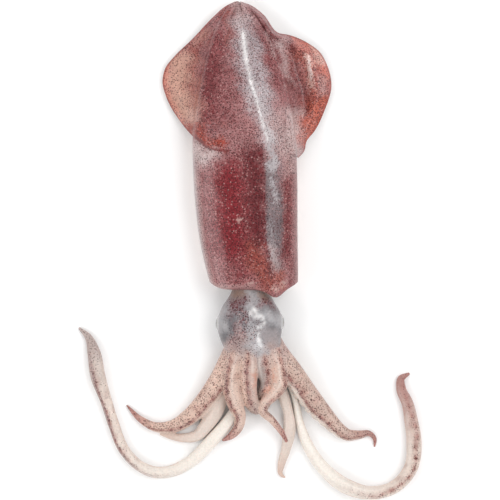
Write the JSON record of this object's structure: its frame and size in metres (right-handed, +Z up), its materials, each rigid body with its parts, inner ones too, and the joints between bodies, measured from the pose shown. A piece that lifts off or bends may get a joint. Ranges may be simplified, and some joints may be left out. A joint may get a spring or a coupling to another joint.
{
  "type": "whole raw squid",
  "caption": "Whole raw squid lying on its belly: long red mantle with rhombic fins, silvery head with large eyes, spread arms and two long tentacles.",
  "frame": {"origin": "on the surface the squid lies on, at the centre of its outline seen from above", "axes": "+Z up, with the back upwards; +Y from the arms towards the mantle's tip; +X towards the animal's left side"},
  "size_m": [0.2366, 0.3437, 0.0379],
  "materials": {
    "mantle_skin": "gloss",
    "head_skin": "gloss",
    "tentacle_skin": "gloss",
    "eye": "gloss"
  },
  "bodies": {
    "root": {"mantle": "mantle_skin", "head": "head_skin", "tentacle_left": "tentacle_skin", "tentacle_right": "tentacle_skin", "eye_left": "eye", "eye_right": "eye"}
  },
  "joints": []
}
